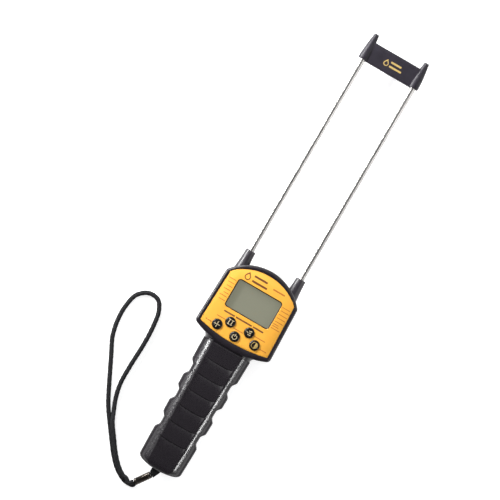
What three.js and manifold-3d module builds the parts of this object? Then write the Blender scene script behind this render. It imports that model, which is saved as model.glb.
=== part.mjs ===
// Hand-held moisture meter with two long steel probes, lying on its back.
// Millimetres. +Z comes out of the display face, +Y points to the probe tips, +X is to the right.
// Inside the instrument group, y is the station: the distance from the end of the handle.

import * as THREE from "three";
import { mergeVertices } from "three/addons/utils/BufferGeometryUtils.js";
import Module from "manifold-3d";

const wasm = await Module();
wasm.setup();

// ---------------------------------------------------------------- driving dimensions

const LENGTH = 460;
const GAP = 0.3;
const WALL = 2.4;
const PARTING = 17;

const HEAD = {
  topCentre: 167.4, topRadius: 48.6, topCorner: 4,
  widest: 40.4, widestAt: 143, taper: 0.034,
  bottomCentre: 232.2, bottomRadius: 100, bottomCorner: 4.5,
  front: 34, frontBevel: 2.2, backBevel: 3,
};
const FACE = {
  topCentre: 159.7, topRadius: 51.4, topCorner: 1.8,
  widest: 36.4, widestAt: 143.3, taper: 0.036,
  bottomCentre: 292.3, bottomRadius: 153, bottomCorner: 1.4,
  top: 33.7, thickness: 0.8,
};
const HANDLE = {
  end: 131.4, front: 32, backFlat: 13.2, widest: 25.1, narrowing: 0.0226,
  endRound: 8, endPower: 2.8, block: 12, shoulder: { reach: 4.4, fall: 4.2, side: 20.5 },
  scallops: [43.2, 72.1, 99.5], scallopDepth: 3.2, scallopFlat: 3.2, scallopReach: 9,
  grooves: [29.1, 46.1, 63.3, 80.6, 97.6, 114.6],
};
const WINDOW = { x: 23, low: 167.2, high: 194.9, corner: 2.4, rim: 0.9 };
const LENS = { x: 25.6, low: 164.3, high: 197.5, corner: 2, back: 30.2, front: 31.2 };
const DISPLAY = { x: 24.6, low: 165.2, high: 196.6, back: 27.3, front: 29.9, frame: 27.2 };
const KEYS = {
  light: [-20.3, 147.7], adjust: [-10.3, 155.5], power: [-0.1, 145.6],
  species: [10, 155.6], hold: [20.2, 147.9],
};
const KEY = { radius: 4.85, flange: 5.6, travel: 0.8, top: 35.1, edge: 34.3 };
const PROBE = { x: 27.3, radius: 3, bore: 2, low: 180, high: 446 };
const SLEEVE = { low: 189, high: 223.5, tipRadius: 4.9, baseRadius: 6.3, collar: 4.9 };
const BAR = { low: 431.9, high: 452.2, back: 13.8, front: 20.2 };
const BOARD = { back: 22.2, front: 23.8 };
const BATTERY = { radius: 5.25, length: 44.5, x: 5.6, z: 8.2 };
const TRAY = { x: 12.3, low: 12.7, high: 110.3, wall: 1, top: 15 };
const COVER = { x: 11.5, low: 14, high: 108, back: 0.3, front: 2.1 };
const PIN = { x: 0.3, y: 4, radius: 1.5 };
const STRAP = { cord: 2.2, ferrule: 3.45, tabLow: 6.6, tabHigh: 13.2, eye: 4.6 };

// Screws that join the two shells, and posts that carry the circuit board.
const HOUSING_SCREWS = [[-33.5, 146.5], [33.5, 146.5], [-13, 204.5], [13, 204.5], [-11, 119], [11, 119]];
const BOARD_POSTS = [[-27.5, 142.5], [27.5, 142.5], [-27.5, 160], [27.5, 160]];

// ---------------------------------------------------------------- helpers

// A closed geometry as a manifold solid, with its faces turned outwards.
function solid(geometry) {
  const bare = geometry.index ? geometry.toNonIndexed() : geometry.clone();
  bare.deleteAttribute("normal");
  bare.deleteAttribute("uv");
  const merged = mergeVertices(bare, 1e-4);
  const points = merged.attributes.position.array;
  const corner = (i) => new THREE.Vector3().fromArray(points, 3 * i);
  const faces = [];
  let volume = 0;
  for (let i = 0; i < merged.index.count; i += 3) {
    const [a, b, c] = merged.index.array.slice(i, i + 3);
    if (a === b || b === c || c === a) continue;
    faces.push([a, b, c]);
    volume += corner(a).dot(corner(b).cross(corner(c)));
  }
  const triVerts = Uint32Array.from(faces.flatMap((f) => (volume < 0 ? [f[0], f[2], f[1]] : f)));
  return new wasm.Manifold(new wasm.Mesh({ numProp: 3, vertProperties: points, triVerts }));
}

function geometryOf(made) {
  const mesh = made.getMesh();
  const geometry = new THREE.BufferGeometry();
  geometry.setAttribute("position", new THREE.BufferAttribute(new Float32Array(mesh.vertProperties), 3));
  geometry.setIndex(new THREE.BufferAttribute(new Uint32Array(mesh.triVerts), 1));
  geometry.computeVertexNormals();
  return geometry;
}

const joined = (solids) => solids.reduce((a, b) => a.add(b));
const without = (body, cutters) => cutters.reduce((a, b) => a.subtract(b), body);

function block(x0, x1, y0, y1, z0, z1) {
  const box = new THREE.BoxGeometry(x1 - x0, y1 - y0, z1 - z0);
  return solid(box.translate((x0 + x1) / 2, (y0 + y1) / 2, (z0 + z1) / 2));
}

function post(x, y, radius, z0, z1, sides = 16) {
  const cylinder = new THREE.CylinderGeometry(radius, radius, z1 - z0, sides);
  return solid(cylinder.rotateX(Math.PI / 2).translate(x, y, (z0 + z1) / 2));
}

// A round body from its profile [radius, height], with its axis along Y or along Z.
function turned(profile, sides) {
  return new THREE.LatheGeometry(profile.map(([r, h]) => new THREE.Vector2(r, h)), sides);
}
const turnedAlongY = (profile, x, z, sides = 16) => solid(turned(profile, sides).translate(x, 0, z));
const turnedAlongZ = (profile, x, y, sides = 18) =>
  solid(turned(profile, sides).rotateX(Math.PI / 2).translate(x, y, 0));

// An outline in the XY plane, raised from z0 to z1.
function plate(outline, z0, z1) {
  const shape = new THREE.Shape(outline.map(([x, y]) => new THREE.Vector2(x, y)));
  const raised = new THREE.ExtrudeGeometry(shape, { depth: z1 - z0, bevelEnabled: false });
  return solid(raised.translate(0, 0, z0));
}

// A skin over rings of equal point count, closed by a flat cap at each end.
function loft(rings, flat) {
  const count = rings[0].length;
  const points = rings.flat(2);
  const index = [];
  for (let r = 0; r + 1 < rings.length; r++) {
    for (let i = 0; i < count; i++) {
      const a = r * count + i;
      const b = r * count + ((i + 1) % count);
      index.push(a, b, b + count, a, b + count, a + count);
    }
  }
  const contour = rings[0].map(flat);
  const clockwise = THREE.ShapeUtils.isClockWise(contour);
  const last = (rings.length - 1) * count;
  for (const [a, second, third] of THREE.ShapeUtils.triangulateShape(contour, [])) {
    const [b, c] = clockwise ? [third, second] : [second, third];
    index.push(c, b, a, last + a, last + b, last + c);
  }
  const geometry = new THREE.BufferGeometry();
  geometry.setAttribute("position", new THREE.Float32BufferAttribute(points, 3));
  geometry.setIndex(index);
  return solid(geometry);
}
const seenAlongZ = ([x, y]) => new THREE.Vector2(x, y);
const seenAlongY = ([x, , z]) => new THREE.Vector2(z, x);

function tube(route, radius, steps, sides = 8) {
  const path = new THREE.CatmullRomCurve3(route.map((p) => new THREE.Vector3(...p)), false, "centripetal");
  const section = new THREE.Shape();
  section.absarc(0, 0, radius, 0, 2 * Math.PI);
  const options = { steps, extrudePath: path, curveSegments: sides / 2, bevelEnabled: false };
  return new THREE.ExtrudeGeometry(section, options);
}

const arc = (cx, cy, r, from, to, n) =>
  Array.from({ length: n + 1 }, (_, i) => {
    const angle = from + ((to - from) * i) / n;
    return [cx + r * Math.cos(angle), cy + r * Math.sin(angle)];
  });

// The corner between the directions of a and b, rounded by a circle of the given radius.
function rounded(a, corner, b, radius, n = 4) {
  const at = new THREE.Vector2(...corner);
  const toA = new THREE.Vector2(...a).sub(at).normalize();
  const toB = new THREE.Vector2(...b).sub(at).normalize();
  const half = Math.acos(toA.dot(toB)) / 2;
  const middle = toA.clone().add(toB).normalize();
  const centre = at.clone().addScaledVector(middle, radius / Math.sin(half));
  const start = at.clone().addScaledVector(toA, radius / Math.tan(half)).sub(centre);
  const end = at.clone().addScaledVector(toB, radius / Math.tan(half)).sub(centre);
  const turn = Math.atan2(start.cross(end), start.dot(end));
  return Array.from({ length: n + 1 }, (_, i) => {
    const p = start.clone().rotateAround(new THREE.Vector2(), (turn * i) / n).add(centre);
    return [p.x, p.y];
  });
}

const roundedRectangle = (x0, x1, y0, y1, r) => [
  ...arc(x1 - r, y1 - r, r, 0, Math.PI / 2, 4),
  ...arc(x0 + r, y1 - r, r, Math.PI / 2, Math.PI, 4),
  ...arc(x0 + r, y0 + r, r, Math.PI, 1.5 * Math.PI, 4),
  ...arc(x1 - r, y0 + r, r, 1.5 * Math.PI, 2 * Math.PI, 4),
];

// The shield outline shared by the head and its face: an arc on top, straight tapered sides and a
// flatter arc below. A positive inset shrinks it evenly.
function shield(form, inset) {
  const side = (y) => form.widest - form.taper * (y - form.widestAt) - inset;
  const meet = (centre, radius, up) => {
    let y = form.widestAt;
    for (let i = 0; i < 20; i++) y = centre + up * Math.sqrt(radius ** 2 - side(y) ** 2);
    return [side(y), y];
  };
  const topR = form.topRadius - inset;
  const bottomR = form.bottomRadius - inset;
  const top = meet(form.topCentre, topR, 1);
  const bottom = meet(form.bottomCentre, bottomR, -1);
  const topAngle = Math.atan2(top[1] - form.topCentre, top[0]);
  const bottomAngle = Math.atan2(bottom[1] - form.bottomCentre, bottom[0]);
  const crown = arc(0, form.topCentre, topR, topAngle, Math.PI - topAngle, 14).slice(1, -1);
  const sill = arc(0, form.bottomCentre, bottomR, -Math.PI - bottomAngle, bottomAngle, 8).slice(1, -1);
  const mirrored = ([x, y]) => [-x, y];
  const topCorner = rounded(bottom, top, crown[0], Math.max(form.topCorner - inset, GAP));
  const bottomCorner = rounded(sill.at(-1), bottom, top, Math.max(form.bottomCorner - inset, GAP));
  return [
    ...topCorner, ...crown, ...topCorner.map(mirrored).reverse(),
    ...bottomCorner.map(mirrored).reverse(), ...sill, ...bottomCorner,
  ];
}

// A rounded opening or pane, larger all round by margin.
const grown = (form, margin) =>
  roundedRectangle(-form.x - margin, form.x + margin, form.low - margin, form.high + margin, form.corner + margin);

const raised = (outline, z) => outline.map(([x, y]) => [x, y, z]);
const smooth = (t) => t * t * (3 - 2 * t);
const mix = (a, b, t) => a + (b - a) * t;

// ---------------------------------------------------------------- shell forms

function headForm(grow) {
  const back = -grow;
  const front = HEAD.front + grow;
  const rings = [
    raised(shield(HEAD, HEAD.backBevel - grow), back),
    raised(shield(HEAD, HEAD.backBevel * 0.3 - grow), back + HEAD.backBevel * 0.3),
    raised(shield(HEAD, -grow), back + HEAD.backBevel),
    raised(shield(HEAD, -grow), front - HEAD.frontBevel),
    raised(shield(HEAD, HEAD.frontBevel * 0.3 - grow), front - HEAD.frontBevel * 0.3),
    raised(shield(HEAD, HEAD.frontBevel - grow), front),
  ];
  return loft(rings, seenAlongZ);
}

// Half-width of the handle at a station, with its finger scallops.
function handleWidth(y) {
  const cut = HANDLE.scallops.map((centre) => {
    const off = Math.abs(y - centre);
    const t = (HANDLE.scallopReach - off) / (HANDLE.scallopReach - HANDLE.scallopFlat);
    return HANDLE.scallopDepth * smooth(THREE.MathUtils.clamp(t, 0, 1));
  });
  return HANDLE.widest - HANDLE.narrowing * (HANDLE.end - y) - Math.max(...cut);
}

// One round of corner cutting on an open line.
const eased = (line) => line.slice(1).flatMap(([x, z], i) => {
  const [x0, z0] = line[i];
  return [[mix(x0, x, 0.25), mix(z0, z, 0.25)], [mix(x0, x, 0.75), mix(z0, z, 0.75)]];
});

// Cross-section of the handle: a flat front panel, an eased shoulder, a sloping flank, full sides and a flat back.
function handleSection(y, width, front, low) {
  const { reach, fall, side } = HANDLE.shoulder;
  const ridge = 15 + (3.2 * y) / HANDLE.end;
  const stretch = width / handleWidth(y);
  const brow = ridge - 1.2;
  const foot = Math.min(ridge + reach, handleWidth(y) - 1.2);
  const drop = (fall * (foot - brow)) / (ridge + reach - brow);
  const shoulder = eased([[ridge - reach, front], [brow, front], [foot, front - drop], [handleWidth(y), side]]);
  const half = [
    ...shoulder.slice(1),
    [handleWidth(y), side],
    [handleWidth(y), 15],
    [handleWidth(y) - 1, 8],
    [Math.min(handleWidth(y) - 3.2, 17.4), low + 2],
    [HANDLE.backFlat, low],
  ].map(([x, z]) => [x * stretch, y, z]);
  return [...half, ...half.map(([x, , z]) => [-x, y, z]).reverse()];
}

function handleForm() {
  const rings = [];
  for (const y of [0, 0.6, 1.6, 3.2, 5.4, HANDLE.endRound]) {
    const t = 1 - y / HANDLE.endRound;
    const k = Math.max((1 - t ** HANDLE.endPower) ** (1 / HANDLE.endPower), GAP);
    rings.push(handleSection(y, handleWidth(y) * k, HANDLE.front - 4 * (1 - k), 3 * (1 - k)));
  }
  const around = [-1, -0.68, -0.355, 0, 0.355, 0.68, 1].map((t) => t * HANDLE.scallopReach);
  for (const centre of HANDLE.scallops) {
    for (const off of around) {
      const y = centre + off;
      rings.push(handleSection(y, handleWidth(y), HANDLE.front, 0));
    }
  }
  rings.push(handleSection(HANDLE.end, handleWidth(HANDLE.end), HANDLE.front, 0));
  return loft(rings, seenAlongY);
}

// The neck flares from just inside the handle's step into the lower edge of the head.
function neckForm() {
  const widths = [[HANDLE.end - 4, 24.3, 31.2], [132.2, 24.5, 31.2], [134.2, 25.3, 31.4], [136.2, 27.6, 31.8], [139.5, 33, 32]];
  return loft(widths.map(([y, width, front]) => handleSection(y, width, front, 0.4)), seenAlongY);
}

function gripGroove(y) {
  const route = [-14.5, -12, -7, 0, 7, 12, 14.5].map((x) => [x, y + 2 * (x / 15) ** 4, HANDLE.front + 0.15]);
  return solid(tube(route, 0.75, 10));
}

function handleCavity() {
  const section = [[12.6, 2.4], [16.2, 7], [16.4, 25], [12, 29.4], [-12, 29.4], [-16.4, 25], [-16.2, 7], [-12.6, 2.4]];
  const rings = [HANDLE.block, 145].map((y) => section.map(([x, z]) => [x, y, z]));
  return loft(rings, seenAlongY);
}

const keyPlaces = Object.entries(KEYS);
const headCavity = plate(shield(HEAD, WALL), WALL, FACE.top - 3.5);
const shellForm = joined([headForm(0), handleForm(), neckForm()]);
const shellCavity = headCavity.add(handleCavity());
const probeHoles = [-1, 1].map((side) => {
  const r = SLEEVE.collar + GAP;
  return turnedAlongY([[0, SLEEVE.low - 1], [r, SLEEVE.low - 1], [r, 226], [0, 226]], side * PROBE.x, PARTING, 20);
});
const pinHole = post(PIN.x, PIN.y, PIN.radius + GAP, 2.4, PARTING + 0.1);

// ---------------------------------------------------------------- shells

function frontHousing() {
  const half = shellForm.intersect(block(-60, 60, -10, 240, PARTING + GAP / 2, 60));
  const posts = BOARD_POSTS.map(([x, y]) => post(x, y, 2.5, BOARD.front + GAP, 31, 12));
  const bosses = HOUSING_SCREWS.map(([x, y]) => post(x, y, 3, PARTING + GAP / 2, 31, 12));
  const filled = joined([half.subtract(shellCavity), ...posts, ...bosses]);
  return without(filled, [
    plate(shield(FACE, -GAP), FACE.top - FACE.thickness - GAP, 40),
    plate(grown(WINDOW, 0), 28, 40),
    ...keyPlaces.map(([, [x, y]]) => post(x, y, KEY.radius + GAP, 28, 40, 24)),
    plate(grown(LENS, GAP), 28, LENS.front + GAP),
    ...HOUSING_SCREWS.map(([x, y]) => post(x, y, 1.6, 10, 26, 12)),
    ...BOARD_POSTS.map(([x, y]) => post(x, y, 1.3, 20, 29, 8)),
    ...HANDLE.grooves.map(gripGroove),
    ...probeHoles,
  ]);
}

function rearHousing() {
  const half = shellForm.intersect(block(-60, 60, -10, 240, -5, PARTING - GAP / 2));
  const bosses = HOUSING_SCREWS.map(([x, y]) => post(x, y, 3.8, 1, PARTING - GAP / 2, 12));
  const strapSlot = [[-5.2, 9.4], [-5.6, 4], [-7.6, -2], [8.8, -2], [6.3, 4], [5.8, 9.4]];
  return without(joined([half.subtract(shellCavity), ...bosses]), [
    ...HOUSING_SCREWS.map(([x, y]) => post(x, y, 1.6, -1, 20, 12)),
    ...HOUSING_SCREWS.map(([x, y]) => post(x, y, 3.1, -1, 4.4, 16)),
    block(-COVER.x - GAP, COVER.x + GAP, COVER.low - GAP, COVER.high + GAP, -1, 5),
    plate(roundedRectangle(-22.3, 22.3, 159.7, 185.3, 2.3), -1, 0.9),
    plate(strapSlot, 6, 14),
    pinHole,
    ...probeHoles,
  ]);
}

// ---------------------------------------------------------------- face, display and keys

function faceOverlay() {
  const blank = plate(shield(FACE, 0), FACE.top - FACE.thickness, FACE.top);
  return without(blank, [
    plate(grown(WINDOW, WINDOW.rim), 30, 40),
    ...keyPlaces.map(([, [x, y]]) => post(x, y, KEY.radius + GAP, 30, 40, 24)),
  ]);
}

function keyCap([x, y]) {
  const r = KEY.radius;
  return turnedAlongZ([
    [0, 28], [2, 28], [2, 28.9], [KEY.flange, 28.9], [KEY.flange, 29.8], [r, 29.8],
    [r, KEY.edge - 0.2], [r * 0.93, KEY.edge + 0.15], [r * 0.6, KEY.top - 0.15], [0, KEY.top],
  ], x, y);
}

function tactSwitch([x, y]) {
  const body = block(x - 3, x + 3, y - 3, y + 3, BOARD.front + GAP, 26.3);
  return body.add(post(x, y, 1.7, 26, 26.9, 12));
}

const windowLens = () => plate(grown(LENS, 0), LENS.back, LENS.front);
const displayGlass = () => block(-DISPLAY.x, DISPLAY.x, DISPLAY.low, DISPLAY.high, DISPLAY.back, DISPLAY.front);
const displayConnector = () => block(-22, 22, 166.2, 168.4, BOARD.front + GAP, DISPLAY.back - GAP);
const displayFrame = () =>
  block(-DISPLAY.frame, DISPLAY.frame, 163, 198.6, BOARD.front + GAP, DISPLAY.front)
    .subtract(block(-DISPLAY.x - GAP, DISPLAY.x + GAP, DISPLAY.low - GAP, DISPLAY.high + GAP, 20, 32));

function mainBoard() {
  const blank = block(-29.8, 29.8, 140, 200.5, BOARD.back, BOARD.front);
  const fitting = plate(shield(HEAD, WALL + 2 * GAP), 20, 26);
  return without(blank.intersect(fitting), BOARD_POSTS.map(([x, y]) => post(x, y, 1.4, 20, 26, 12)));
}

const controllerChip = () => block(-6, 6, 169, 181, 20.2, BOARD.back - GAP);

// ---------------------------------------------------------------- probes and tip

function probeRod(side) {
  return turnedAlongY([
    [0, PROBE.high - 3], [PROBE.bore, PROBE.high - 3], [PROBE.bore, PROBE.low], [PROBE.radius, PROBE.low],
    [PROBE.radius, PROBE.high - 0.5], [PROBE.radius - 0.5, PROBE.high], [0, PROBE.high],
  ], side * PROBE.x, PARTING, 20);
}

function probeSleeve(side) {
  const nozzle = turnedAlongY([
    [0, 199], [SLEEVE.baseRadius, 199], [SLEEVE.baseRadius, 202.7], [5.65, 211],
    [SLEEVE.tipRadius, SLEEVE.high - 1], [SLEEVE.tipRadius - 0.6, SLEEVE.high], [0, SLEEVE.high],
  ], side * PROBE.x, PARTING, 24);
  const r = SLEEVE.collar;
  const collar = turnedAlongY([[0, SLEEVE.low], [r, SLEEVE.low], [r, 215], [0, 215]], side * PROBE.x, PARTING, 20);
  const bore = PROBE.radius + GAP;
  const hole = turnedAlongY([[0, 180], [bore, 180], [bore, 230], [0, 230]], side * PROBE.x, PARTING, 20);
  return nozzle.subtract(headForm(GAP)).add(collar).subtract(hole);
}

function probeNut(side) {
  const x = side * PROBE.x;
  const hexagon = turnedAlongY([[0, 184.6], [4.8, 184.6], [4.8, 188.6], [0, 188.6]], x, PARTING, 6);
  const bore = PROBE.radius + GAP;
  return hexagon.subtract(turnedAlongY([[0, 184], [bore, 184], [bore, 189], [0, 189]], x, PARTING));
}

function probeLug(side) {
  const x = side * PROBE.x;
  const ring = turnedAlongY([[3.3, 183.4], [4.8, 183.4], [4.8, 184.2], [3.3, 184.2], [3.3, 183.4]], x, PARTING, 16);
  return ring.add(block(x - 1.5, x + 1.5, 183.4, 184.2, PARTING - 9.5, PARTING - 4.2));
}

function tipGuard() {
  const ears = [-1, 1].map((side) =>
    turnedAlongY([
      [0, BAR.low + 0.4], [4.8, BAR.low + 0.4], [5.05, 434], [4.65, 442.6], [3.5, BAR.high],
      [2.5, LENGTH - 0.8], [1.9, LENGTH], [0, LENGTH],
    ], side * PROBE.x, PARTING, 20));
  const lip = 1;
  const x = PROBE.x - 2;
  const bar = loft([
    [[-x, BAR.low + lip, BAR.back], [x, BAR.low + lip, BAR.back], [x, BAR.high - lip, BAR.back], [-x, BAR.high - lip, BAR.back]],
    [[-x, BAR.low, BAR.back + lip], [x, BAR.low, BAR.back + lip], [x, BAR.high, BAR.back + lip], [-x, BAR.high, BAR.back + lip]],
    [[-x, BAR.low, BAR.front - lip], [x, BAR.low, BAR.front - lip], [x, BAR.high, BAR.front - lip], [-x, BAR.high, BAR.front - lip]],
    [[-x, BAR.low + lip, BAR.front], [x, BAR.low + lip, BAR.front], [x, BAR.high - lip, BAR.front], [-x, BAR.high - lip, BAR.front]],
  ], seenAlongZ);
  const bore = PROBE.radius + GAP;
  const sockets = [-1, 1].map((side) =>
    turnedAlongY([[0, 430], [bore, 430], [bore, PROBE.high + GAP], [0, PROBE.high + GAP]], side * PROBE.x, PARTING, 20));
  return without(joined([...ears, bar]), sockets);
}

// ---------------------------------------------------------------- batteries

function battery(x, low, plusUp) {
  const r = BATTERY.radius;
  const cell = BATTERY.length - 1;
  const profile = [[0, 0], [r - 0.5, 0], [r, 0.5], [r, cell - 0.4], [r - 0.6, cell], [1.9, cell], [1.9, cell + 1], [0, cell + 1]];
  const lathed = turned(profile, 16);
  if (!plusUp) lathed.rotateZ(Math.PI).translate(0, BATTERY.length, 0);
  return solid(lathed.translate(x, low, BATTERY.z));
}

function batteryTray() {
  const outer = block(-TRAY.x, TRAY.x, TRAY.low, TRAY.high, WALL + GAP, TRAY.top);
  const inner = block(-TRAY.x + TRAY.wall, TRAY.x - TRAY.wall, TRAY.low + 1.2, TRAY.high - 1.2, -1, TRAY.top - 1.2);
  const divider = block(-0.2, 0.2, TRAY.low + 8, TRAY.high - 8, TRAY.top - 5, TRAY.top - 1);
  return outer.subtract(inner).add(divider);
}

function contactSpring(x, low, wide) {
  const turns = 3;
  const route = Array.from({ length: turns * 8 + 1 }, (_, i) => {
    const t = i / (turns * 8);
    const r = mix(wide ? 3.8 : 2.2, wide ? 2.2 : 3.8, t);
    const angle = 2 * Math.PI * turns * t;
    return [x + r * Math.cos(angle), low + 0.4 + 2.2 * t, BATTERY.z + r * Math.sin(angle)];
  });
  return solid(tube(route, 0.35, turns * 8, 6));
}

function batteryCover() {
  const blank = block(-COVER.x, COVER.x, COVER.low, COVER.high, COVER.back, COVER.front);
  const grips = [19, 21.5, 24].map((y) => block(-6, 6, y, y + 1.2, -1, COVER.back + 0.6));
  return without(blank, grips);
}

// ---------------------------------------------------------------- fasteners and wires

function screw([x, y], headRadius, headBack, headFront, shankRadius, tip) {
  const body = turnedAlongZ([
    [0, headBack], [headRadius - 0.4, headBack], [headRadius, headBack + 0.5], [headRadius, headFront],
    [shankRadius, headFront + 0.3], [shankRadius, tip - 1], [0, tip],
  ], x, y, 12);
  const slot = headRadius * 0.6;
  return without(body, [
    block(x - slot, x + slot, y - 0.35, y + 0.35, headBack - 1, headBack + 1),
    block(x - 0.35, x + 0.35, y - slot, y + slot, headBack - 1, headBack + 1),
  ]);
}

const WIRES = {
  sensor_wire_left: [[-27.3, 182.4, 8.4], [-25, 178, 9], [-20, 173, 12], [-16, 171, 17], [-14.5, 171, 21.8]],
  sensor_wire_right: [[27.3, 182.4, 8.4], [25, 178, 9], [20, 173, 12], [16, 171, 17], [14.5, 171, 21.8]],
  battery_wire_red: [[-5.6, 111, 8.4], [-5.2, 116, 9], [-4.5, 126, 12], [-6, 138, 15], [-9, 146, 18], [-10, 148, 21.8]],
  battery_wire_black: [[5.6, 111, 8.4], [5.2, 116, 9], [4.5, 126, 12], [6, 138, 15], [9, 146, 18], [10, 148, 21.8]],
};

// ---------------------------------------------------------------- wrist strap

const FERRULE_TOP = [-2.9, -8.2, 9.1];
const FERRULE_END = [-12, -21.6, 4.4];

function strapTab() {
  const along = new THREE.Vector2(FERRULE_END[0] - FERRULE_TOP[0], FERRULE_END[1] - FERRULE_TOP[1]).normalize();
  const end = new THREE.Vector2(FERRULE_TOP[0], FERRULE_TOP[1]).addScaledVector(along, -1.1);
  const across = new THREE.Vector2(-along.y, along.x);
  const right = end.clone().addScaledVector(across, 3.5);
  const left = end.clone().addScaledVector(across, -3.5);
  const eye = arc(PIN.x, PIN.y, STRAP.eye, -0.08 * Math.PI, 1.06 * Math.PI, 12);
  return plate([...eye, [-4.8, 0], [left.x, left.y], [right.x, right.y], [3.9, -2.2], [4.4, 0]], STRAP.tabLow, STRAP.tabHigh)
    .subtract(post(PIN.x, PIN.y, PIN.radius + GAP, 0, 20));
}

function strapFerrule() {
  const top = new THREE.Vector3(...FERRULE_TOP);
  const axis = new THREE.Vector3(...FERRULE_END).sub(top);
  const length = axis.length();
  const r = STRAP.ferrule;
  const crimp = (at) => [[r, at - 0.7], [r - 0.3, at - 0.2], [r - 0.3, at + 0.2], [r, at + 0.7]];
  const profile = [[0, 0], [r - 0.3, 0], [r, 0.3], ...crimp(2), ...crimp(length - 2), [r, length - 0.3], [r - 0.3, length], [0, length]];
  const lean = new THREE.Quaternion().setFromUnitVectors(new THREE.Vector3(0, 1, 0), axis.normalize());
  return solid(turned(profile, 16).applyQuaternion(lean).translate(...FERRULE_TOP));
}

// The cord runs out of the ferrule along the outer side of the pair, round the loop, and back into the
// ferrule on top of its own start. [x, station, height of the centreline]
const CORD_ROUTE = [
  [-11.4, -22.6, 2.6], [-12.8, -25.8, 2.1], [-16.4, -26.2, 2], [-19.3, -26.2, 2], [-22.2, -25.5, 2],
  [-27.2, -23.3, 2], [-34.8, -18.1, 2], [-44.2, -8.1, 2], [-53, 3.5, 2], [-61.7, 15.3, 2], [-68, 24, 2],
  [-73.5, 33, 2], [-83.5, 52.8, 2], [-92.5, 71.1, 2], [-100.4, 87.4, 2], [-103.9, 104.3, 2],
  [-103.8, 119.4, 2], [-100.4, 132, 2], [-91.1, 139.5, 2], [-80.7, 138.8, 2], [-74.4, 130, 2],
  [-71.5, 114.6, 2], [-70.7, 95.5, 2], [-71.5, 71.4, 2], [-71.2, 52.2, 2], [-68.1, 38, 2],
  [-63.5, 26.1, 2.5], [-59, 16.3, 4.4], [-50.6, 4.5, 5.1], [-42, -7.1, 5.1], [-32.5, -17.2, 5.1],
  [-25, -22.2, 5.1], [-20.6, -23.2, 5.1], [-17.2, -25.9, 5.2], [-13.7, -22.6, 5.9],
];
const CORD_STEPS = 80;

// ---------------------------------------------------------------- assembly

const MATERIALS = {
  shell: { color: 0x232126, roughness: 0.42 },
  grip: { color: 0x201e22, roughness: 0.6 },
  face: { color: 0xf5a92e, roughness: 0.45 },
  key: { color: 0x0e0d0e, roughness: 0.2 },
  lens: { color: 0xe8ece6, roughness: 0.05, transparent: true, opacity: 0.25 },
  display: { color: 0x8c8c78, roughness: 0.3 },
  board: { color: 0x1f6a3a, roughness: 0.5 },
  chip: { color: 0x1a1a1c, roughness: 0.5 },
  steel: { color: 0xc9cbcd, roughness: 0.22, metalness: 1 },
  brass: { color: 0xb9953f, roughness: 0.35, metalness: 1 },
  cell: { color: 0x2f6f9f, roughness: 0.4, metalness: 0.3 },
  webbing: { color: 0x121113, roughness: 0.9 },
  label: { color: 0xb9bbbd, roughness: 0.5 },
  red: { color: 0xa02020, roughness: 0.5 },
};

const instrument = new THREE.Group();
instrument.position.y = -LENGTH / 2;

function add(name, form, material) {
  const geometry = form instanceof THREE.BufferGeometry ? form : geometryOf(form);
  const mesh = new THREE.Mesh(geometry, new THREE.MeshStandardMaterial(MATERIALS[material]));
  mesh.name = name;
  instrument.add(mesh);
}

add("front_housing", frontHousing(), "shell");
add("rear_housing", rearHousing(), "shell");
add("face_overlay", faceOverlay(), "face");
add("window_lens", windowLens(), "lens");
add("display_glass", displayGlass(), "display");
add("display_frame", displayFrame(), "chip");
add("display_connector", displayConnector(), "webbing");
add("main_board", mainBoard(), "board");
add("controller_chip", controllerChip(), "chip");
for (const [name, place] of keyPlaces) {
  add(`key_${name}`, keyCap(place), "key");
  add(`switch_${name}`, tactSwitch(place), "steel");
}
for (const [side, hand] of [[-1, "left"], [1, "right"]]) {
  add(`probe_rod_${hand}`, probeRod(side), "steel");
  add(`probe_sleeve_${hand}`, probeSleeve(side), "shell");
  add(`probe_nut_${hand}`, probeNut(side), "brass");
  add(`probe_lug_${hand}`, probeLug(side), "brass");
}
add("tip_guard", tipGuard(), "shell");

add("battery_tray", batteryTray(), "chip");
const upLow = TRAY.low + 5.6;
const downLow = TRAY.low + 2.3;
const pitch = BATTERY.length + GAP;
add("battery_1", battery(-BATTERY.x, upLow, true), "cell");
add("battery_2", battery(-BATTERY.x, upLow + pitch, true), "cell");
add("battery_3", battery(BATTERY.x, downLow, false), "cell");
add("battery_4", battery(BATTERY.x, downLow + pitch, false), "cell");
add("contact_bridge", block(-10.5, 10.5, 14.2, 14.7, 4, 12.4), "steel");
add("contact_plate_positive", block(-9.4, -1.8, 107.9, 108.6, 4, 12.4), "steel");
add("contact_plate_negative", block(1.8, 9.4, 107.9, 108.6, 4, 12.4), "steel");
add("contact_spring_bridge", contactSpring(-BATTERY.x, 15, true), "steel");
add("contact_spring_terminal", contactSpring(BATTERY.x, 104.6, false), "steel");
add("battery_cover", batteryCover(), "grip");

HOUSING_SCREWS.forEach((place, i) => add(`housing_screw_${i + 1}`, screw(place, 2.8, 2, 4, 1.3, 24), "steel"));
BOARD_POSTS.forEach((place, i) => {
  add(`board_screw_${i + 1}`, screw(place, 2.2, BOARD.back - 1.9, BOARD.back - 0.6, 1, 28), "steel");
});
for (const [name, route] of Object.entries(WIRES)) {
  add(name, tube(route, 0.7, 14), name === "battery_wire_red" ? "red" : "chip");
}
add("back_label", plate(roundedRectangle(-22, 22, 160, 185, 2), 0.3, 0.6), "label");

add("strap_pin", post(PIN.x, PIN.y, PIN.radius, 2.7, 16.6), "steel");
add("strap_tab", strapTab(), "webbing");
add("strap_ferrule", strapFerrule(), "steel");
add("strap_cord", tube(CORD_ROUTE, STRAP.cord, CORD_STEPS), "webbing");

const meter = new THREE.Group();
meter.add(instrument);

export default meter;
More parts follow.
